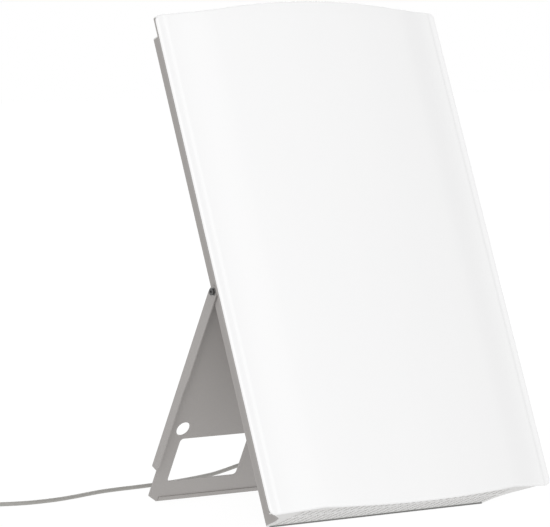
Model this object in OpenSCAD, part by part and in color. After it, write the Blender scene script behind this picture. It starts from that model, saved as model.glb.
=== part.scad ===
// Light therapy lamp: a bowed opal light panel leaning back on a folding stand.
// Millimetres. X across, Y towards the back, Z up. The table is Z = 0.
// The panel is modelled upright (X across, Y depth, Z up its height) and leant back;
// the stand is modelled upright with its pivot at the origin and swung out.

/* [Panel] */
// Width of the front, over the diffuser
body_w = 385; // [370:1:400]
// Height of the housing, over its end plates
body_h = 551; // [530:1:570]
// Depth of the housing behind the diffuser's side strips
tray_d = 71.4; // [68:0.2:75]
// Lean of the panel from upright
lean = 21.8; // [15:0.2:26]
// How far the diffuser's middle stands forward of its side strips
bulge = 21; // [15:0.5:25]
// Thickness of the opal diffuser sheet
diffuser_t = 3; // [2.5:0.5:3.5]
// Thickness of the housing's sheet metal
sheet_t = 1.2; // [1:0.1:1.5]

/* [Stand] */
// Distance from the pivot down to the stand's lower edge
stand_len = 280; // [270:0.5:310]
// Thickness of the stand's sheet metal
stand_t = 1.5; // [1.2:0.1:1.5]
// Width of the stand over its side flanges
stand_w = 305.6; // [305:0.1:307]
// Width of each window in the stand
window_w = 94.9; // [80:0.1:100]
// Height of each window in the stand
window_h = 56.8; // [45:0.1:60]

/* [Ventilation] */
// Width of the vent slots in the end plates
slot_w = 3.2; // [2:0.2:4]
// Distance between vent slots along a row
slot_pitch = 9.4; // [8:0.1:11]

/* [Cord] */
// Diameter of the mains cord
cord_d = 4.6; // [4.4:0.1:4.8]

/* [Hidden] */

// where the diffuser starts to bow, from the side edge
strip_w = 8.5;
step_w = 3;
step_h = 1.5;
curve_start = 24;
curve_h = 1.9;
arch_half = 130;
arch_h = 6.5;
edge_lap = 2.3;
edge_r = 8;
tape_t = 0.8;

// tray section: inset from the side edge and depth of each fold
tray_inset = 42;
wall_x = body_w / 2 - tray_inset;
flange_y = diffuser_t + tape_t + sheet_t;
pivot_v = 259.5;
pivot_y = 64;
ear_r = 6.5;
web_y = 9.3;
ear_tangent = 14.7;

panel_z = tray_d * sin(lean);
pivot_h = panel_z + pivot_v * cos(lean) - pivot_y * sin(lean);
stand_angle = acos(pivot_h / norm([stand_len, web_y - stand_t]))
    - atan((web_y - stand_t) / stand_len);
foot_back = pivot_v * sin(lean) + pivot_y * cos(lean)
    + stand_len * sin(stand_angle) + web_y * cos(stand_angle);
front_most = (body_h / 2 - arch_reach()) * sin(lean) - bulge * cos(lean);
panel_y = -(foot_back + front_most) / 2;

grey = [0.60, 0.585, 0.57];
light_grey = [0.80, 0.80, 0.79];
opal = [0.95, 0.95, 0.95];
black = [0.06, 0.06, 0.06];
steel = [0.72, 0.72, 0.72];
white = [0.93, 0.93, 0.92];

function arch_reach() = body_h / 2 + edge_lap + arch_h;
function smooth(s) = s * s * (3 - 2 * s);
function arch_rad() = (arch_half * arch_half + arch_h * arch_h) / (2 * arch_h);
// rise of the diffuser's outer face at a distance t from the side edge
arc_start = body_w / 2 - arch_half;
bow_r = 1000;
function bow(t) = bulge - pow(body_w / 2 - t, 2) / (2 * bow_r);
function blend(s) = let (run = arc_start - curve_start)
    curve_h * (1 - smooth(s)) + bow(arc_start) * smooth(s)
    + 0.13 * run * (s * s * s - s * s) + 0.03 * run * (s * s * s - 2 * s * s + s);
function rise(t) = t <= strip_w ? 0
    : t <= strip_w + step_w ? step_h * (t - strip_w) / step_w
    : t <= curve_start ? step_h + (curve_h - step_h) * (t - strip_w - step_w)
        / (curve_start - strip_w - step_w)
    : t <= arc_start ? blend((t - curve_start) / (arc_start - curve_start))
    : bow(t);
stations = concat([0, strip_w, strip_w + step_w, curve_start],
    [for (i = [1:9]) curve_start + (arc_start - curve_start) * i / 9],
    [for (i = [1:16]) arc_start + arch_half * i / 16]);
half_face = [for (t = stations) [t - body_w / 2, -rise(t)]];
function mirrored(p) = [for (i = [len(p) - 1:-1:0]) [-p[i][0], p[i][1]]];
function backwards(p) = [for (i = [len(p) - 1:-1:0]) p[i]];
function moved(p, d) = [for (q = p) q + [0, d]];
face = concat(half_face, [for (i = [1:len(half_face) - 1]) mirrored(half_face)[i]]);

// tray wall, left half, from the lip at the flange's edge to the middle of the back: a flat
// flange, a slope of 45 degrees and a wide bend into the straight part beside the stand
flare_r = 44;
flare_end = tray_d - 11.4;
lip = 0.4;
back_r = 3;
wall = concat([[sheet_t, flange_y + lip], [sheet_t, flange_y], [5.5, flange_y]],
    [for (a = [45:-5:0]) [tray_inset - flare_r * (1 - cos(a)), flare_end - flare_r * sin(a)]],
    [for (a = [0:30:90]) [tray_inset + back_r * (1 - cos(a)), tray_d - back_r * (1 - sin(a))]],
    [[body_w / 2, tray_d]]);
wall_left = [for (p = wall) [p[0] - body_w / 2, p[1]]];
function unit(v) = v / norm(v);
function side(p, i) = let (d = unit(p[i + 1] - p[i])) [d[1], -d[0]];
function corner(p, i) = i == 0 ? side(p, 0)
    : i == len(p) - 1 ? side(p, i - 1)
    : let (m = unit(side(p, i - 1) + side(p, i))) m / (m * side(p, i));
function inset(p, t) = [for (i = [0:len(p) - 1]) p[i] + t * corner(p, i)];
wall_in = inset(wall_left, sheet_t);

module on_panel() {
    translate([0, panel_y, panel_z]) rotate([-lean, 0, 0]) children();
}
module on_stand() {
    translate([0, panel_y + pivot_v * sin(lean) + pivot_y * cos(lean), pivot_h])
        rotate([stand_angle, 0, 0]) children();
}
// a flat outline in X and Z, extruded in Y from y0 to y1
module plate(y0, y1) {
    translate([0, y1, 0]) rotate([90, 0, 0]) linear_extrude(y1 - y0) children();
}
// a flat outline in Y and Z, extruded in X from x0 to x1
module cheek(x0, x1) {
    translate([x0, 0, 0]) rotate([90, 0, 90]) linear_extrude(x1 - x0) children();
}
module rounded(w, h, r) {
    square([w - 2 * r, h], center = true);
    square([w, h - 2 * r], center = true);
    for (x = [-1, 1], y = [-1, 1])
        translate([x * (w / 2 - r), y * (h / 2 - r)]) circle(r = r, $fn = 32);
}
module front_outline() {
    rounded(body_w, body_h + 2 * edge_lap, edge_r);
    intersection() {
        translate([0, arch_reach() - arch_rad()]) circle(r = arch_rad(), $fn = 360);
        translate([0, arch_rad() - arch_reach()]) circle(r = arch_rad(), $fn = 360);
        square([2 * arch_half, 2 * arch_reach() + 2], center = true);
    }
}
module diffuser() {
    color(opal) on_panel() intersection() {
        translate([0, 0, -body_h / 2]) linear_extrude(2 * body_h)
            polygon(concat(face, backwards(moved(face, diffuser_t))));
        translate([0, 0, body_h / 2]) plate(-bulge - 1, diffuser_t + 1) front_outline();
    }
}
module edge_tape() {
    color(white) on_panel() for (s = [-1, 1])
        translate([s * (body_w / 2 - 3), diffuser_t + tape_t / 2, body_h / 2])
            cube([4, tape_t, body_h - 20], center = true);
}

// ---------- housing ----------
module tray_shape() {
    polygon(concat(wall_left, mirrored(wall_left), backwards(mirrored(wall_in)),
        backwards(wall_in)));
}
switch_x = 62;
switch_v = 330;
relief_x = 107.5;
relief_v = 330;
relief_d = 8.9;
switch_opening = [13, 19];
pilot_d = 2.5;
screw_hole_d = 3.2;
pivot_hole_d = 4.2;
end_screw_x = 110;
end_screw_v = 7;
module rear_housing() {
    color(grey) on_panel() difference() {
        translate([0, 0, sheet_t]) linear_extrude(body_h - 2 * sheet_t) tray_shape();
        for (s = [-1, 1])
            translate([s * wall_x, pivot_y, pivot_v])
                rotate([0, 90, 0]) cylinder(d = pivot_hole_d, h = 12, center = true, $fn = 32);
        translate([relief_x, tray_d, relief_v])
            rotate([90, 0, 0]) cylinder(d = relief_d + 0.1, h = 6, center = true, $fn = 32);
        translate([switch_x, tray_d, switch_v])
            cube([switch_opening[0], 6, switch_opening[1]], center = true);
        for (v = [end_screw_v, body_h - end_screw_v], x = [-end_screw_x, end_screw_x])
            translate([x, tray_d, v])
                rotate([90, 0, 0]) cylinder(d = screw_hole_d, h = 6, center = true, $fn = 24);
    }
}

// ---------- end plates ----------
// each end plate caps the tray's whole section, up to the back of the diffuser
module end_outline() {
    gap = 0.5;
    front = [for (p = half_face) p + [0, diffuser_t + gap]];
    left = concat(backwards(front), [for (i = [1:len(wall_left) - 1])
        [max(wall_left[i][0], front[0][0]), wall_left[i][1]]]);
    polygon(concat(left, mirrored([for (i = [1:len(left) - 2]) left[i]])));
}
// two rows of slots that run from front to back: [first, last] depth of each row
slot_rows = [[12, 31], [36, 67]];
slot_margin = 9;
slots_each_side = floor((wall_x - slot_margin) / slot_pitch);
module vents() {
    for (row = slot_rows, i = [-slots_each_side:slots_each_side]) {
        from = row[0] + slot_w / 2;
        to = row[1] - slot_w / 2;
        translate([i * slot_pitch - slot_w / 2, from]) square([slot_w, to - from]);
        for (y = [from, to]) translate([i * slot_pitch, y]) circle(d = slot_w, $fn = 24);
    }
}
tab_w = 250;
tab_h = 12;
module end_plate() {
    linear_extrude(sheet_t) difference() {
        end_outline();
        vents();
    }
    translate([0, tray_d - 1.5 * sheet_t, tab_h / 2]) difference() {
        cube([tab_w, sheet_t, tab_h], center = true);
        for (x = [-end_screw_x, end_screw_x]) translate([x, 0, end_screw_v - tab_h / 2])
            rotate([90, 0, 0]) cylinder(d = pilot_d, h = 8, center = true, $fn = 24);
    }
}
module bottom_end_plate() {
    color(light_grey) on_panel() end_plate();
}
module top_end_plate() {
    color(light_grey) on_panel() translate([0, 0, body_h]) mirror([0, 0, 1]) end_plate();
}
module screw(d, head_d, head_h, length) {
    cylinder(d = d, h = length, $fn = 24);
    translate([0, 0, -head_h]) difference() {
        cylinder(d = head_d, h = head_h, $fn = 32);
        translate([0, 0, -1]) cylinder(d = head_d * 0.42, h = 1 + head_h * 0.5, $fn = 6);
    }
}
module end_plate_screws() {
    color(steel) on_panel()
        for (v = [end_screw_v, body_h - end_screw_v], x = [-end_screw_x, end_screw_x])
            translate([x, tray_d, v]) rotate([90, 0, 0]) screw(2.6, 5.5, 1.6, 5);
}
foot_front = 67.5;
foot_rear = 70.8;
foot_end_gap = 4.5;
function foot_drop(y) = (y * sin(lean) - panel_z) / cos(lean);
module foot_strip() {
    color(black) on_panel() cheek(foot_end_gap - wall_x, wall_x - foot_end_gap)
        polygon([[foot_front, 0], [foot_rear, 0], [foot_rear, foot_drop(foot_rear)],
            [foot_front, foot_drop(foot_front)]]);
}

// ---------- light source, closed in by the housing ----------
reflector_y = 36;
reflector_t = 0.8;
tube_y = 20;
tube_d = 17.5;
tube_gap = 21;
tube_v = 70;
tube_len = 372;
tube_xs = [-88, 0, 88];
reflector_line = [[-145, 31], [-128, reflector_y], [128, reflector_y], [145, 31]];
module reflector() {
    color(white) on_panel() translate([0, 0, 14]) linear_extrude(body_h - 28)
        polygon(concat(reflector_line, backwards(moved(reflector_line, -reflector_t))));
    color(white) on_panel() for (x = [-100, 100], v = [30, body_h - 60])
        translate([x - 6, reflector_y, v]) cube([12, tray_d - sheet_t - reflector_y, 14]);
}
module tube_glass() {
    color(opal) on_panel() for (x = tube_xs) {
        for (s = [-1, 1]) translate([x + s * tube_gap / 2, tube_y, tube_v]) difference() {
            cylinder(d = tube_d, h = tube_len, $fn = 32);
            translate([0, 0, -1]) cylinder(d = tube_d - 2, h = tube_len, $fn = 32);
        }
        translate([x, tube_y, tube_v + tube_len - 12]) rotate([0, 90, 0])
            cylinder(d = 8, h = tube_gap - tube_d + 1, center = true, $fn = 24);
    }
}
module tube_bases() {
    color(white) on_panel() for (x = tube_xs) {
        translate([x - 21, tube_y - 11, tube_v - 25]) cube([42, 22, 25]);
        for (i = [-1.5:1:1.5]) translate([x + i * 9, tube_y, tube_v - 33])
            cylinder(d = 2.3, h = 8.2, $fn = 16);
    }
}
module lamp_holders() {
    color(white) on_panel() for (x = tube_xs) difference() {
        translate([x - 22, tube_y - 12, tube_v - 43])
            cube([44, reflector_y - reflector_t - tube_y + 12, 18]);
        for (i = [-1.5:1:1.5]) translate([x + i * 9, tube_y, tube_v - 34])
            cylinder(d = 2.5, h = 10, $fn = 16);
    }
}
module tube_clips() {
    color(white) on_panel() for (x = tube_xs) translate([0, 0, tube_v + tube_len - 60])
        linear_extrude(10) difference() {
            union() {
                for (s = [-1, 1])
                    translate([x + s * tube_gap / 2, tube_y]) circle(d = tube_d + 3, $fn = 32);
                translate([x - 8, tube_y]) square([16, reflector_y - reflector_t - tube_y]);
            }
            for (s = [-1, 1])
                translate([x + s * tube_gap / 2, tube_y]) circle(d = tube_d + 0.1, $fn = 32);
            translate([x - 30, tube_y - 20]) square([60, 16]);
        }
}
case_t = 0.8;
case_w = 60;
case_h = 30;
case_len = 220;
case_v = 170;
ballast_xs = [-75, 5];
module ballast() {
    color(steel) on_panel() for (x = ballast_xs)
        translate([x - case_w / 2, tray_d - sheet_t - case_h, case_v]) difference() {
            cube([case_w, case_h, case_len]);
            translate([case_t, case_t, case_t])
                cube([case_w - 2 * case_t, case_h, case_len - 2 * case_t]);
        }
}
ballast_head_t = 1.5;
module ballast_screws() {
    color(steel) on_panel() for (x = ballast_xs, v = [case_v + 6, case_v + case_len - 6])
        translate([x, tray_d - sheet_t - case_h - ballast_head_t, v]) rotate([-90, 0, 0])
            cylinder(d = 7, h = ballast_head_t, $fn = 24);
}
block = [44, 16, 18];
block_at = [80, tray_d - sheet_t - block[1], 250];
block_ways = 4;
module terminal_block() {
    color(white) on_panel() translate(block_at) difference() {
        cube(block);
        for (i = [0:block_ways - 1])
            translate([(i + 0.6) * block[0] / block_ways, 6, block[2] / 2])
                rotate([90, 0, 0]) cylinder(d = 4, h = 14, $fn = 24);
    }
}

// ---------- cord entry and switch ----------
relief_len = 34;
module strain_relief() {
    color(grey) on_panel() translate([relief_x, tray_d, relief_v]) rotate([-90, 0, 0]) {
        translate([0, 0, -sheet_t]) cylinder(d = relief_d, h = sheet_t + 1, $fn = 32);
        translate([0, 0, -sheet_t - 2.5]) cylinder(d = 12, h = 2.5, $fn = 32);
        cylinder(d = 13, h = 3, $fn = 48);
        translate([0, 0, 3]) cylinder(d1 = 10, d2 = cord_d + 1.6, h = relief_len - 3, $fn = 48);
    }
}
rocker_turn = 8;
module switch_bezel() {
    color(black) on_panel() translate([switch_x, tray_d, switch_v]) difference() {
        union() {
            translate([-7.5, 0, -10.5]) cube([15, 1.6, 21]);
            translate([-6.5, -14, -9.5]) cube([13, 14, 19]);
        }
        translate([-5, -6, -8]) cube([10, 9, 16]);
        translate([0, -1, 0]) rotate([0, 90, 0]) cylinder(d = 2.1, h = 14, center = true, $fn = 32);
    }
}
module switch_rocker() {
    color(black) on_panel() translate([switch_x, tray_d - 1, switch_v]) {
        rotate([rocker_turn, 0, 0]) cheek(-4.6, 4.6)
            polygon([[-3, -5.5], [1.2, -7.2], [3.2, -7.4], [2.2, 0], [3.2, 7.4],
                [1.2, 7.2], [-3, 5.5]]);
        rotate([0, 90, 0]) cylinder(d = 2, h = 12, center = true, $fn = 32);
    }
}

// ---------- pivots and stand ----------
module both_sides() {
    children();
    mirror([1, 0, 0]) children();
}
stand_x = stand_w / 2;
turn_gap = 0.05;
module pivot_nuts() {
    color(steel) on_panel() both_sides()
        translate([wall_x - sheet_t - 3.2, pivot_y, pivot_v]) rotate([0, 90, 0])
            difference() {
                cylinder(d = 8.1, h = 3.2, $fn = 6);
                translate([0, 0, -1]) cylinder(d = 3.94, h = 6, $fn = 32);
            }
}
module pivot_spacers() {
    color(steel) on_panel() both_sides()
        translate([wall_x, pivot_y, pivot_v]) rotate([0, 90, 0])
            difference() {
                cylinder(d = 8, h = stand_x - stand_t - turn_gap - wall_x, $fn = 48);
                translate([0, 0, -1]) cylinder(d = 4.3, h = 4, $fn = 32);
            }
}
flange_end = 49.5;
flange_y0 = -14.6;
flange_y1 = -12.9;
bare_in = 9.4;
module ear_outline() {
    tip = [ear_r * cos(ear_tangent), ear_r * sin(ear_tangent)];
    circle(r = ear_r, $fn = 64);
    polygon([[0, 0], tip, [web_y, tip[1] - (web_y - tip[0]) / tan(ear_tangent)],
        [web_y, -stand_len + flange_end],
        [web_y - 10.4, -stand_len + flange_end], [web_y + flange_y1, -stand_len + flange_end + 7.5],
        [web_y + flange_y1, -125], [web_y + flange_y0, -105], [-ear_r * 0.96, -12], [-ear_r, 0]]);
}
bend_r = 2.5;
module u_section() {
    translate([0, web_y - 20]) difference() {
        rounded(stand_w, 40, bend_r);
        rounded(stand_w - 2 * stand_t, 40 - 2 * stand_t, bend_r - stand_t);
    }
}
foot_corner = [12, 8];
module bare_outline() {
    half = stand_x - bare_in;
    polygon([[-half, -stand_len + flange_end + 1], [-half, -stand_len + foot_corner[1]],
        [-half + foot_corner[0], -stand_len], [half - foot_corner[0], -stand_len],
        [half, -stand_len + foot_corner[1]], [half, -stand_len + flange_end + 1]]);
}
// two windows with a finger hole above each: corner radius, places on the stand, hole size
window_r = 4.5;
window_x = body_w / 2 - 115.25;
window_v = 54.1;
finger_hole_d = 17.4;
finger_hole_x = body_w / 2 - 66.7;
finger_hole_v = window_v + 41.7;
module window_outlines() {
    for (s = [-1, 1]) {
        translate([s * window_x, window_v - stand_len]) rounded(window_w, window_h, window_r);
        translate([s * finger_hole_x, finger_hole_v - stand_len])
            circle(d = finger_hole_d, $fn = 64);
    }
}
module stand_plate() {
    color(grey) on_stand() difference() {
        union() {
            intersection() {
                translate([0, 0, -stand_len]) linear_extrude(stand_len + 20) u_section();
                cheek(-stand_x - 1, stand_x + 1) ear_outline();
            }
            plate(web_y - stand_t, web_y) bare_outline();
        }
        plate(web_y - 5, web_y + 5) window_outlines();
        rotate([0, 90, 0])
            cylinder(d = pivot_hole_d, h = 2 * stand_x + 4, center = true, $fn = 32);
    }
}
edge_strip_h = 5;
edge_strip_t = 1;
edge_strip_x = stand_x - bare_in - foot_corner[0] - 2;
module stand_edge_strip() {
    color(grey) on_stand()
        translate([-edge_strip_x, web_y - stand_t - edge_strip_t, -stand_len + 0.7])
            cube([2 * edge_strip_x, edge_strip_t, edge_strip_h]);
}
washer_t = 0.8;
module pivot_screws() {
    color(steel) on_panel() both_sides()
        translate([stand_x + turn_gap + washer_t, pivot_y, pivot_v])
            rotate([0, -90, 0]) screw(4, 7.6, 2.2, 12);
}
module pivot_washers() {
    color(steel) on_panel() both_sides()
        translate([stand_x + turn_gap, pivot_y, pivot_v]) rotate([0, 90, 0]) difference() {
            cylinder(d = 9, h = washer_t, $fn = 48);
            translate([0, 0, -1]) cylinder(d = 4.3, h = 3, $fn = 32);
        }
}

// ---------- mains cord ----------
// The coil lies left of the lamp, wound inwards on the table and back outwards on top.
cord_r = cord_d / 2;
coil_c = [-361.4, 222];
coil_from = 63;
coil_turn = 2244;
coil_min = 19;
coil_pitch = 5.1;
tie_t = 0.8;
coil_z = tie_t + cord_r - 0.05;
coil_rings = 150;
function coil_r(a) = coil_min + coil_pitch * abs(a - coil_turn / 2) / 360;
function climb(a) = smooth(min(1, max(0, (a - coil_turn / 2 + 90) / 180)));
function coil_at(a) = [coil_c[0] + coil_r(a) * cos(coil_from + a),
    coil_c[1] + coil_r(a) * sin(coil_from + a), coil_z + coil_pitch * climb(a)];
coil_in = [-sin(coil_from), cos(coil_from), 0];
coil_out = [-sin(coil_from + coil_turn), cos(coil_from + coil_turn), 0];
plug_z = 7;
tail_len = 16;
tail_end = [coil_at(coil_turn)[0] + tail_len * coil_out[0],
    coil_at(coil_turn)[1] + tail_len * coil_out[1], plug_z];
coil_path = concat([coil_at(0) - cord_d * coil_in],
    [for (i = [0:coil_rings]) coil_at(coil_turn * i / coil_rings)],
    [tail_end - 6 * coil_out, tail_end]);
// route of the loose stretch, from the strain relief's tip down to the table and along it
route = [[107.5, 101, 286.9], [107.5, 130, 271], [107.5, 160, 243], [107.5, 187, 203],
    [107.5, 210, 158], [107.5, 228, 112], [107.5, 243, 72], [107, 258, 41], [104, 274, 20],
    [95, 287, 13], [80, 293, 8], [60, 291, 4.5], [35, 283, 2.6], [-11, 267, 2.3],
    [-40, 259.5, 2.3], [-70, 253.5, 2.3], [-95, 250.5, 2.3], [-120, 248.5, 2.3],
    [-145, 244.5, 2.3], [-170, 236.5, 2.3], [-195, 227.8, 2.3], [-220, 221.5, 2.3],
    [-245, 219, 2.3], [-269, 221, 2.3], [-300, 231.5, 2.4]];
function leant(p) = [p[0], panel_y + p[2] * sin(lean) + p[1] * cos(lean),
    panel_z + p[2] * cos(lean) - p[1] * sin(lean)];
relief_tip = leant([relief_x, tray_d + relief_len, relief_v]);
relief_on = leant([relief_x, tray_d + relief_len + cord_d, relief_v]);
run_points = concat([relief_tip, relief_on], route,
    [coil_at(0) - 20 * coil_in, coil_at(0) - 2 * cord_d * coil_in,
        coil_at(0) - cord_d * coil_in]);
function spline(a, b, c, d, s) = 0.5 * (2 * b + (c - a) * s
    + (2 * a - 5 * b + 4 * c - d) * s * s + (3 * b - a - 3 * c + d) * s * s * s);
function pick(p, i) = p[min(max(i, 0), len(p) - 1)];
function curve(p, parts) = concat([p[0]],
    [for (i = [1:len(p) - 3]) for (j = [0:parts - 1])
        spline(p[i - 1], p[i], p[i + 1], pick(p, i + 2), j / parts)],
    [p[len(p) - 2], p[len(p) - 1]]);
run_path = curve(run_points, 3);
function along(p, i) = unit(pick(p, i + 1) - pick(p, i - 1));
function ring(p, i, up, r, n) = let (t = along(p, i), a = unit(cross(t, up)), b = cross(t, a))
    [for (k = [0:n - 1]) p[i] + r * (cos(k * 360 / n) * a + sin(k * 360 / n) * b)];
module tube(p, up, r, n) {
    m = len(p);
    polyhedron(points = [for (i = [0:m - 1]) for (q = ring(p, i, up, r, n)) q],
        faces = concat([[for (k = [0:n - 1]) k]],
            [for (i = [0:m - 2]) for (k = [0:n - 1]) let (a = i * n + k, b = i * n + (k + 1) % n)
                [b, a, a + n, b + n]],
            [[for (k = [n - 1:-1:0]) (m - 1) * n + k]]));
}
module cord_run() {
    color(grey) tube(run_path, [1, 0, 1], cord_r, 12);
}
module cord_coil() {
    color(grey) tube(coil_path, [0, 0, 1], cord_r, 6);
}
coil_gap = min([for (i = [0:3:coil_rings - 20]) for (j = [i + 18:coil_rings])
    norm(coil_path[i] - coil_path[j])]) - cord_d;
echo(least_gap_in_coil_mm = coil_gap);
function path_len(p) = len(p) < 2 ? 0 : [for (i = 1, s = norm(p[1] - p[0]); i < len(p);
    i = i + 1, s = s + (i < len(p) ? norm(p[i] - p[i - 1]) : 0)) s][len(p) - 2];
echo(cord_mm = path_len(run_path) + path_len(coil_path));
tie_in = 18.4;
tie_out = 34.9;
tie_top = 10.7;
module coil_tie() {
    color(black) translate([coil_c[0], coil_c[1], 0]) rotate([0, 0, coil_from + 180])
        translate([(tie_in + tie_out) / 2, 0, tie_t + tie_top / 2 - 0.35]) rotate([90, 0, 0])
            linear_extrude(12, center = true) difference() {
                rounded(tie_out - tie_in + 2 * tie_t, tie_top + 0.9, 2);
                rounded(tie_out - tie_in, tie_top - 0.7, 1.3);
            }
}
plug_turn = coil_from + coil_turn + 90;
neck_len = 20;
plug_len = 34;
plug_w = 34;
plug_h = 13.6;
pin_x = 9.3;
pin_d = 4;
pin_len = 18;
module at_plug() {
    translate(tail_end) rotate([0, 0, plug_turn]) children();
}
module plug_body() {
    color(grey) at_plug() {
        rotate([0, 90, 0]) cylinder(d1 = cord_d + 1.6, d2 = 11, h = neck_len, $fn = 32);
        translate([neck_len, 0, 0]) rotate([90, 0, 90]) linear_extrude(plug_len)
            rounded(plug_w, plug_h, 5);
    }
}
module plug_pins() {
    color(steel) at_plug() for (s = [-1, 1])
        translate([neck_len + plug_len, s * pin_x, 0]) rotate([0, 90, 0]) {
            cylinder(d = pin_d, h = pin_len, $fn = 32);
            translate([0, 0, pin_len]) cylinder(d1 = pin_d, d2 = 2.6, h = 1, $fn = 32);
        }
}

diffuser();
edge_tape();
rear_housing();
top_end_plate();
bottom_end_plate();
end_plate_screws();
foot_strip();
reflector();
tube_glass();
tube_bases();
lamp_holders();
tube_clips();
ballast();
ballast_screws();
terminal_block();
strain_relief();
switch_bezel();
switch_rocker();
pivot_nuts();
pivot_spacers();
stand_plate();
stand_edge_strip();
pivot_screws();
pivot_washers();
cord_run();
cord_coil();
coil_tie();
plug_body();
plug_pins();
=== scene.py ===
# Light therapy lamp: a bowed opal light panel that leans back on a folding sheet-metal stand.
# Metres. X across, Y towards the back, Z up. The table is Z = 0.
import math
import bpy
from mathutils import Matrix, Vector


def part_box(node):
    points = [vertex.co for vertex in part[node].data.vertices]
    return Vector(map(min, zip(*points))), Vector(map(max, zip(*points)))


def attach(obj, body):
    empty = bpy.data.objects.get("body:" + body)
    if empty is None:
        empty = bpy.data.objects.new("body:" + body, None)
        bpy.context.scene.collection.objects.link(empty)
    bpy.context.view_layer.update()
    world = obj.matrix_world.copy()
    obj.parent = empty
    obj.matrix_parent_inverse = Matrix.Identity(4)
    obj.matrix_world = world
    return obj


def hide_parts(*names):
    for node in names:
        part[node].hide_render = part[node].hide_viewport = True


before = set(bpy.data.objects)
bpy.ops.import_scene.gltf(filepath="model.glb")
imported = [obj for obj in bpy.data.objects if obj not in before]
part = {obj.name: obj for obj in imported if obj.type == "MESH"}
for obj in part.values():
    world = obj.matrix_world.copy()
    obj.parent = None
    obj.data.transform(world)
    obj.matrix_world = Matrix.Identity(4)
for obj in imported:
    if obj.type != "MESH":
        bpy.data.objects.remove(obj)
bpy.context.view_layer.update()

# The camera: a long lens at the front left, about as high as the top of the lamp and tilted a
# little down. The lamp fills the picture, and the table is seen at a shallow angle.
picture_width_px = 550
focal_length_px = 3580
film_width_mm = 36
camera_yaw = math.radians(37.084)
camera_pitch = math.radians(4.373)
camera_way = Vector((math.sin(camera_yaw) * math.cos(camera_pitch),
                     math.cos(camera_yaw) * math.cos(camera_pitch),
                     -math.sin(camera_pitch)))
camera = bpy.data.objects.new("camera", bpy.data.cameras.new("camera"))
bpy.context.collection.objects.link(camera)
camera.location = (-2.4016, -3.0652, 0.5658)
camera.rotation_mode = "QUATERNION"
camera.rotation_quaternion = camera_way.to_track_quat("-Z", "Y")
camera.data.sensor_width = film_width_mm
camera.data.lens = focal_length_px / picture_width_px * film_width_mm
camera.data.clip_end = 30
bpy.context.scene.camera = camera
bpy.context.scene.view_settings.view_transform = "Standard"

# The mains flex: a round grey two-core cord, 4.6 mm thick. It leaves the housing's back above
# the stand, drops to the table behind it and runs off to the left in loose bends. The rest of
# its length is wound up there, in a coil of two layers.
lean = math.radians(21.8)
cord_r = 0.0023
relief_tip = Vector((0.1075, 0.08418, 0.293774))
relief_way = Vector((0, math.cos(lean), -math.sin(lean)))
coil_middle = Vector((-0.3614, 0.222))
coil_from = math.radians(63)
coil_turn = math.radians(2244)
coil_least_r = 0.019
coil_pitch = 0.0051
coil_low_z = 0.00305


def smooth(s):
    """From 0 to 1, with a level start and end."""
    return s * s * (3 - 2 * s)


def coil_point(turned):
    """A point of the coil, wound inwards on the table and back outwards on top of itself."""
    past_middle = turned - coil_turn / 2
    radius = coil_least_r + coil_pitch * abs(past_middle) / (2 * math.pi)
    climb = smooth(min(1, max(0, past_middle / math.pi + 0.5)))
    return Vector((coil_middle.x + radius * math.cos(coil_from + turned),
                   coil_middle.y + radius * math.sin(coil_from + turned),
                   coil_low_z + coil_pitch * climb))


def coil_way(turned):
    """The direction in which the cord runs at a point of the coil."""
    return Vector((-math.sin(coil_from + turned), math.cos(coil_from + turned), 0))


route = [relief_tip, relief_tip + 2 * cord_r * relief_way] + [Vector(p) / 1000 for p in (
    (107.5, 101, 286.9), (107.5, 130, 271), (107.5, 160, 243), (107.5, 187, 203),
    (107.5, 210, 158), (107.5, 228, 112), (107.5, 243, 72), (107, 258, 41), (104, 274, 20),
    (95, 287, 13), (80, 293, 8), (60, 291, 4.5), (35, 283, 2.6), (-11, 267, 2.3),
    (-40, 259.5, 2.3), (-70, 253.5, 2.3), (-95, 250.5, 2.3), (-120, 248.5, 2.3),
    (-145, 244.5, 2.3), (-170, 236.5, 2.3), (-195, 227.8, 2.3), (-220, 221.5, 2.3),
    (-245, 219, 2.3), (-269, 221, 2.3), (-300, 231.5, 2.4))]
route += [coil_point(0) - before * coil_way(0) for before in (0.020, 4 * cord_r, 2 * cord_r)]
route_steps = 6
cord_line = [route[0]]
for a, b, c, d in zip(route, route[1:], route[2:], route[3:]):
    for j in range(route_steps):
        s = j / route_steps
        cord_line.append(0.5 * (2 * b + (c - a) * s + (2 * a - 5 * b + 4 * c - d) * s * s
                                + (3 * b - a - 3 * c + d) * s * s * s))
cord_line.append(route[-2])
coil_steps = 300
cord_line += [coil_point(coil_turn * i / coil_steps) for i in range(coil_steps + 1)]
tail_length, last_straight, plug_z = 0.016, 0.006, 0.007
cord_end = coil_point(coil_turn) + tail_length * coil_way(coil_turn)
cord_end.z = plug_z
cord_line += [cord_end - last_straight * coil_way(coil_turn), cord_end]
cord_curve = bpy.data.curves.new("mains_cord", "CURVE")
cord_curve.dimensions = "3D"
cord_curve.bevel_depth = cord_r
cord_curve.bevel_resolution = 5
cord_curve.use_fill_caps = True
cord_spline = cord_curve.splines.new("POLY")
cord_spline.points.add(len(cord_line) - 1)
for point, place in zip(cord_spline.points, cord_line):
    point.co = (*place, 1)
cord = bpy.data.objects.new("mains_cord", cord_curve)
bpy.context.collection.objects.link(cord)


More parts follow.
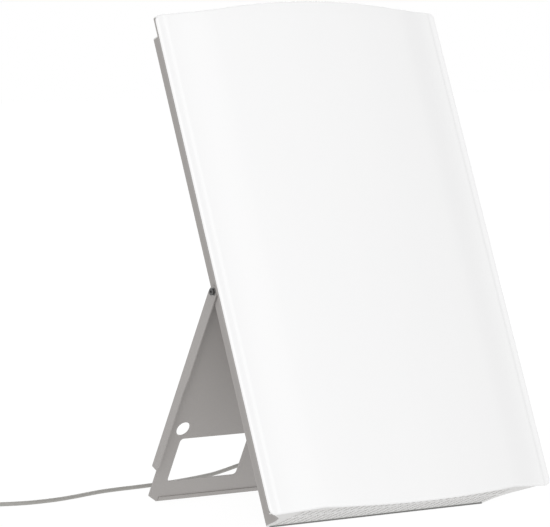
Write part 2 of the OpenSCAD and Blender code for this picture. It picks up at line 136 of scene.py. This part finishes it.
def finish(name, dark, light, roughness, grain, bump,
           stretch=(1, 1, 1), spread=0.05, metallic=0):
    """A painted, plated or moulded finish: a mottle in its colour and gloss, and a fine relief.

    grain is how fine the mottle is, per metre, and spread is how far the gloss varies.
    """
    noise_low, noise_high = 0.3, 0.7
    relief_depth = 0.0002
    made = bpy.data.materials.new(name)
    made.use_nodes = True
    nodes, links = made.node_tree.nodes, made.node_tree.links
    bsdf = nodes["Principled BSDF"]
    bsdf.inputs["Metallic"].default_value = metallic
    where = nodes.new("ShaderNodeTexCoord")
    scaled = nodes.new("ShaderNodeMapping")
    scaled.inputs["Scale"].default_value = stretch
    noise = nodes.new("ShaderNodeTexNoise")
    noise.inputs["Scale"].default_value = grain
    noise.inputs["Detail"].default_value = 4
    colour = nodes.new("ShaderNodeValToRGB")
    low_end, high_end = colour.color_ramp.elements
    low_end.position, high_end.position = noise_low, noise_high
    low_end.color, high_end.color = (*dark, 1), (*light, 1)
    gloss = nodes.new("ShaderNodeMapRange")
    gloss.inputs["From Min"].default_value = noise_low
    gloss.inputs["From Max"].default_value = noise_high
    gloss.inputs["To Min"].default_value = roughness + spread
    gloss.inputs["To Max"].default_value = roughness - spread
    relief = nodes.new("ShaderNodeBump")
    relief.inputs["Strength"].default_value = bump
    relief.inputs["Distance"].default_value = relief_depth
    links.new(where.outputs["Object"], scaled.inputs["Vector"])
    links.new(scaled.outputs["Vector"], noise.inputs["Vector"])
    links.new(noise.outputs["Fac"], colour.inputs["Fac"])
    links.new(noise.outputs["Fac"], gloss.inputs["Value"])
    links.new(noise.outputs["Fac"], relief.inputs["Height"])
    links.new(colour.outputs["Color"], bsdf.inputs["Base Color"])
    links.new(gloss.outputs["Result"], bsdf.inputs["Roughness"])
    links.new(relief.outputs["Normal"], bsdf.inputs["Normal"])
    return made


cord.data.materials.append(finish(
    "cord_sheath", (0.36, 0.35, 0.33), (0.40, 0.39, 0.37), 0.5, 220, 0.15))
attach(cord, "lamp")
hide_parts("cord_run", "cord_coil")

# The plug and the tie: a moulded grey plug with two plated pins lies beside the coil, and a
# strip of black hook-and-loop tape holds the coil's turns together.


def dress(coat, *names):
    """Gives CAD pieces that keep their shape a finish."""
    for name in names:
        part[name].data.materials.clear()
        part[name].data.materials.append(coat)


grey_plastic = finish("grey_plastic", (0.34, 0.33, 0.31), (0.37, 0.36, 0.34), 0.5, 1500, 0.1)
dress(grey_plastic, "plug_body")
plated_steel = finish("plated_steel", (0.34, 0.34, 0.34), (0.42, 0.42, 0.42), 0.34, 700, 0.08,
                      metallic=0.9)
dress(plated_steel, "plug_pins")
dress(finish("hook_tape", (0.014, 0.014, 0.015), (0.03, 0.03, 0.031), 0.85, 2600, 0.5),
      "coil_tie")

# The housing: one tray folded from 1.2 mm steel sheet. Its sides flare out to a narrow flange
# for the panel. It is powder coated in a warm satin grey with a faint orange-peel relief.
grey_coat = finish("painted_sheet", (0.400, 0.381, 0.368), (0.420, 0.401, 0.388),
                   0.5, 900, 0.12)
dress(grey_coat, "rear_housing")

# The ballasts and the mains terminal: two plated sheet cases screwed to the housing's floor,
# and a white moulded terminal block beside them, below the mains entry.
zinc_case = finish("zinc_case", (0.46, 0.46, 0.46), (0.52, 0.52, 0.51), 0.36, 60, 0.06,
                   stretch=(1, 1, 0.05), metallic=0.9)
dress(zinc_case, "ballast")
dress(plated_steel, "ballast_screws")
white_plastic = finish("white_plastic", (0.78, 0.78, 0.77), (0.82, 0.82, 0.81), 0.5, 1500, 0.1)
dress(white_plastic, "terminal_block")

# The reflector: one bent sheet of 0.8 mm aluminium with a white baked coat. It stands on four
# tabs over the ballasts and throws the tubes' light forward.
dress(finish("reflector_sheet", (0.80, 0.80, 0.79), (0.84, 0.84, 0.83), 0.4, 900, 0.1),
      "reflector")

# The tubes: three twin tubes of coated glass. Their white bases push into moulded holders on
# the reflector, and a moulded clip carries the far end of each.
dress(finish("opal_glass", (0.86, 0.86, 0.86), (0.9, 0.9, 0.9), 0.2, 60, 0.02), "tube_glass")
dress(white_plastic, "tube_bases", "lamp_holders", "tube_clips")

# The mains entry and the switch: a tapered grey strain relief and a black rocker in its
# snap-in bezel, both in the housing's back above the stand.
dress(grey_plastic, "strain_relief")
dress(finish("black_plastic", (0.015, 0.015, 0.016), (0.022, 0.022, 0.023), 0.4, 1500, 0.1),
      "switch_bezel", "switch_rocker")

# The end plates: 1.2 mm steel sheet with two rows of air slots and a bent tab, in a lighter
# grey coat. Two small screws through the housing's back hold each one.
dress(finish("vent_sheet", (0.76, 0.755, 0.745), (0.79, 0.785, 0.775), 0.5, 900, 0.1),
      "top_end_plate", "bottom_end_plate")
dress(plated_steel, "end_plate_screws")

# The filter pads: a strip of white open-cell foam behind the slots of each end plate, glued by
# its rim. It keeps dust and fingers out, and it is why the slots look pale.
height = 0.551
tray_depth = 0.0714
plate_thick = 0.0012
panel_foot = tray_depth * math.sin(lean)
panel_front = (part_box("rear_housing")[1].y - tray_depth * math.cos(lean)
               - (height - plate_thick) * math.sin(lean))
pad_wide, pad_deep, pad_thick = 0.287, 0.058, 0.0009
pad_front = 0.010
pad_clear = 0.0004
pad_columns, pad_rows = 96, 22
cell_relief = 0.00014
cell_across, cell_along = 1.9, 2.3


def on_panel(x, y, z):
    """From the upright panel's own axes to the leaning panel's place."""
    return Vector((x, panel_front + z * math.sin(lean) + y * math.cos(lean),
                   panel_foot + z * math.cos(lean) - y * math.sin(lean)))


def closed_sheet(name, face, back, coat):
    """A sheet between two grids of points, which are columns from left to right."""
    columns, rows = len(face), len(face[0])
    far = columns * rows
    quads = []
    for c in range(columns - 1):
        for i in range(c * rows, c * rows + rows - 1):
            quads.append((i, i + rows, i + rows + 1, i + 1))
            quads.append((far + i + 1, far + i + rows + 1, far + i + rows, far + i))
        low, high = c * rows, c * rows + rows - 1
        quads.append((low, far + low, far + low + rows, low + rows))
        quads.append((high + rows, far + high + rows, far + high, high))
    for left in range(rows - 1):
        right = (columns - 1) * rows + left
        quads.append((left + 1, far + left + 1, far + left, left))
        quads.append((right, far + right, far + right + 1, right + 1))
    mesh = bpy.data.meshes.new(name)
    mesh.from_pydata([point for column in face + back for point in column], [], quads)
    mesh.polygons.foreach_set("use_smooth", [True] * len(mesh.polygons))
    mesh.materials.append(coat)
    sheet = bpy.data.objects.new(name, mesh)
    bpy.context.collection.objects.link(sheet)
    return sheet


def pad_face(z):
    """One face of a pad at a height z up the panel, dimpled by the cells of its foam."""
    return [[on_panel(pad_wide * (i / pad_columns - 0.5), pad_front + pad_deep * j / pad_rows,
                      z + cell_relief * math.sin(cell_across * i) * math.sin(cell_along * j))
             for j in range(pad_rows + 1)] for i in range(pad_columns + 1)]


foam = finish("foam_tape", (0.75, 0.75, 0.74), (0.82, 0.82, 0.81), 0.88, 2500, 0.3)
lowest_pad = plate_thick + pad_clear
for name, z in (("filter_pad_low", lowest_pad),
                ("filter_pad_high", height - lowest_pad - pad_thick)):
    pad = closed_sheet(name, pad_face(z + pad_thick), pad_face(z), foam)
    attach(pad, "lamp")

# The foot strip: rubber with a matt skin, glued along the lower back edge, where the lamp
# stands on it. Its dark tone is partly the rubber's own and partly painted shade, for the
# contact shadow along that edge.
dress(finish("rubber_and_contact_shade", (0.21, 0.21, 0.205), (0.26, 0.26, 0.255), 0.8, 1200, 0.2,
             spread=0.1), "foot_strip")

# The tape: white adhesive foam along both flanges. It carries the panel and takes up its
# growth in the heat.
dress(foam, "edge_tape")

# The diffuser: one sheet of 3 mm opal acrylic, formed hot and held by the tape. It is flat
# along its side edges, steps forward at a moulded line and bows out in the middle, and its ends
# are cut to an arc.
width, thick = 0.385, 0.003
bulge, bow_radius = 0.021, 1.0
step_start, step_end = (0.0074, 0, 0), (0.0128, 0.00155, 0.08)
bow_start = 0.066
overhang = 0.0023
corner_r = 0.008
arch_half, arch_rise = 0.13, 0.0065
arch_radius = (arch_half ** 2 + arch_rise ** 2) / (2 * arch_rise)
rim_r = 0.0026
sharp_from = math.radians(50)
# The opal's faint upright bands, lighter and darker, are painted light: the glow of the tubes
# behind the sheet.
opal = finish("opal_acrylic", (0.945, 0.945, 0.947), (0.96, 0.96, 0.96), 0.42, 9, 0.02,
              stretch=(1, 0.15, 0.15), spread=0.03)


def eased(t, start, end):
    """A smooth run between two points of a section, each given as (place, height, slope)."""
    span = end[0] - start[0]
    s = (t - start[0]) / span
    return (start[1] + (end[1] - start[1]) * smooth(s)
            + span * start[2] * s * (1 - s) * (1 - s) - span * end[2] * s * s * (1 - s))


def rise(t):
    """How far the sheet's face stands forward at a distance t from its side edge."""
    if t <= step_start[0]:
        return 0
    if t <= step_end[0]:
        return eased(t, step_start, step_end)
    if t < bow_start:
        reach = width / 2 - bow_start
        on_bow = (bow_start, bulge - reach ** 2 / (2 * bow_radius), reach / bow_radius)
        return eased(t, step_end, on_bow)
    return bulge - (width / 2 - t) ** 2 / (2 * bow_radius)


def sheet_end(t):
    """How far the sheet reaches past the end plate: an arc in the middle, round corners."""
    if t < corner_r:
        return overhang - corner_r + math.sqrt(corner_r ** 2 - (corner_r - t) ** 2)
    x = min(width / 2 - t, arch_half)
    return (overhang + math.sqrt(arch_radius ** 2 - x ** 2)
            - math.sqrt(arch_radius ** 2 - arch_half ** 2))


def rim_fall(inwards):
    """How far the rounded rim lies behind the face at a distance inwards from the edge."""
    return rim_r - math.sqrt(rim_r ** 2 - (rim_r - min(inwards, rim_r)) ** 2)


edge_mm = (0, 0.2, 0.6, 1.2, 2, 3, 4, 5, 6, 6.8, 7.4, 8, 8.5, 9, 9.5, 10, 10.5, 11, 11.6, 12.2)
bow_step = 0.0025
bow_steps = int((width / 2 - step_end[0]) / bow_step)
across = [mm / 1000 for mm in edge_mm]
across += [step_end[0] + bow_step * i for i in range(bow_steps + 1)]
across += [width / 2] + [width - t for t in reversed(across)]
rim_steps = (0, 0.0001, 0.0004, 0.0009, 0.0014, 0.002)
middle_steps = 40
face, back = [], []
for t in across:
    near = min(t, width - t)
    low, high = -sheet_end(near), height + sheet_end(near)
    ups = [low + step for step in rim_steps]
    ups += [low + rim_r + (high - low - 2 * rim_r) * i / middle_steps
            for i in range(middle_steps + 1)]
    ups += [high - step for step in reversed(rim_steps)]
    x, front = t - width / 2, -rise(near)
    face.append([on_panel(x, front + rim_fall(min(near, up - low, high - up)), up)
                 for up in ups])
    back.append([on_panel(x, front + thick, up) for up in ups])
diffuser = closed_sheet("opal_diffuser", face, back, opal)
diffuser.data.set_sharp_from_angle(angle=sharp_from)
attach(diffuser, "lamp")
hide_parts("diffuser")

# The stand: one sheet of 1.5 mm steel, coated as the housing is. Its side flanges reach forward
# to the pivots beside the housing, and its windows and round holes are for the fingers. A
# second strip is fixed along its lower edge.
dress(grey_coat, "stand_plate", "stand_edge_strip")

# The pivots: a button-head screw on each side, through a plated washer and the stand's ear
# into a nut inside the housing, with a spacer between the two sheets. The screws' dark colour
# is painted shade, for the deep socket and the shadow round each head.
dress(plated_steel, "pivot_washers", "pivot_nuts", "pivot_spacers")
dress(finish("socket_shade_steel", (0.10, 0.10, 0.10), (0.15, 0.15, 0.15), 0.3, 700, 0.08,
             metallic=0.9), "pivot_screws")

# The table and the room: a plain white sweep in soft studio light, which is stronger from the
# front and weaker from behind and above. The eye, gloss and glass see both as white.
table_reach = 12
table_drop = 0.0005
table_glow, table_white, white_share = 0.80, 1.07, 0.88
weak_light, strong_light = 0.42, 0.94
strong_way = (-0.33, -0.88, -0.34)
light_target = Vector((0, 0, 0.25))


def seen_plainly(tree):
    """A socket that is 1 for what the eye, gloss or glass sees, and 0 for light on the lamp."""
    ray = tree.nodes.new("ShaderNodeLightPath")
    eye_or_gloss = tree.nodes.new("ShaderNodeMath")
    eye_or_gloss.operation = "MAXIMUM"
    or_glass = tree.nodes.new("ShaderNodeMath")
    or_glass.operation = "MAXIMUM"
    tree.links.new(ray.outputs["Is Camera Ray"], eye_or_gloss.inputs[0])
    tree.links.new(ray.outputs["Is Glossy Ray"], eye_or_gloss.inputs[1])
    tree.links.new(eye_or_gloss.outputs[0], or_glass.inputs[0])
    tree.links.new(ray.outputs["Is Transmission Ray"], or_glass.inputs[1])
    return or_glass.outputs[0]


def level_between(tree, share, low, high):
    """A node whose result goes from low to high as share goes from 0 to 1."""
    level = tree.nodes.new("ShaderNodeMapRange")
    level.inputs["To Min"].default_value = low
    level.inputs["To Max"].default_value = high
    tree.links.new(share, level.inputs["Value"])
    return level


floor = bpy.data.objects.new("floor", bpy.data.meshes.new("floor"))
floor.data.from_pydata([(x * table_reach, y * table_reach, 0)
                        for x, y in ((-1, -1), (1, -1), (1, 1), (-1, 1))], [], [(0, 1, 2, 3)])
bpy.context.collection.objects.link(floor)
floor.location.z = -table_drop
sweep = bpy.data.materials.new("sweep")
sweep.use_nodes = True
tree = sweep.node_tree
board = tree.nodes["Principled BSDF"]
board.inputs["Base Color"].default_value = (0.9, 0.9, 0.9, 1)
board.inputs["Roughness"].default_value = 1
glow = tree.nodes.new("ShaderNodeEmission")
glow.inputs["Color"].default_value = (1, 1, 1, 1)
blend = tree.nodes.new("ShaderNodeMixShader")
seen = seen_plainly(tree)
glow_level = level_between(tree, seen, table_glow, table_white)
glow_share = level_between(tree, seen, 1, white_share)
tree.links.new(glow_level.outputs[0], glow.inputs["Strength"])
tree.links.new(glow_share.outputs[0], blend.inputs["Fac"])
tree.links.new(board.outputs[0], blend.inputs[1])
tree.links.new(glow.outputs[0], blend.inputs[2])
tree.links.new(blend.outputs[0], tree.nodes["Material Output"].inputs["Surface"])
floor.data.materials.append(sweep)
world = bpy.data.worlds.new("room")
bpy.context.scene.world = world
world.use_nodes = True
tree = world.node_tree
background = tree.nodes["Background"]
background.inputs["Color"].default_value = (1, 1, 1, 1)
way = tree.nodes.new("ShaderNodeTexCoord")
facing = tree.nodes.new("ShaderNodeVectorMath")
facing.operation = "DOT_PRODUCT"
facing.inputs[1].default_value = strong_way
tree.links.new(way.outputs["Generated"], facing.inputs[0])
room_light = level_between(tree, facing.outputs["Value"], weak_light, strong_light)
room_light.inputs["From Min"].default_value = -1
room_level = level_between(tree, seen_plainly(tree), weak_light, 1)
tree.links.new(room_light.outputs[0], room_level.inputs["To Min"])
tree.links.new(room_level.outputs[0], background.inputs["Strength"])
for name, place, size, power in (("key", (-3.1, -3.8, 1.75), 2.2, 64),
                                 ("back fill", (2.2, 2.6, 1.8), 2.0, 22)):
    light = bpy.data.objects.new(name, bpy.data.lights.new(name, "AREA"))
    light.data.size = size
    light.data.energy = power
    light.location = place
    light.rotation_mode = "QUATERNION"
    light.rotation_quaternion = (light_target - Vector(place)).to_track_quat("-Z", "Y")
    bpy.context.collection.objects.link(light)
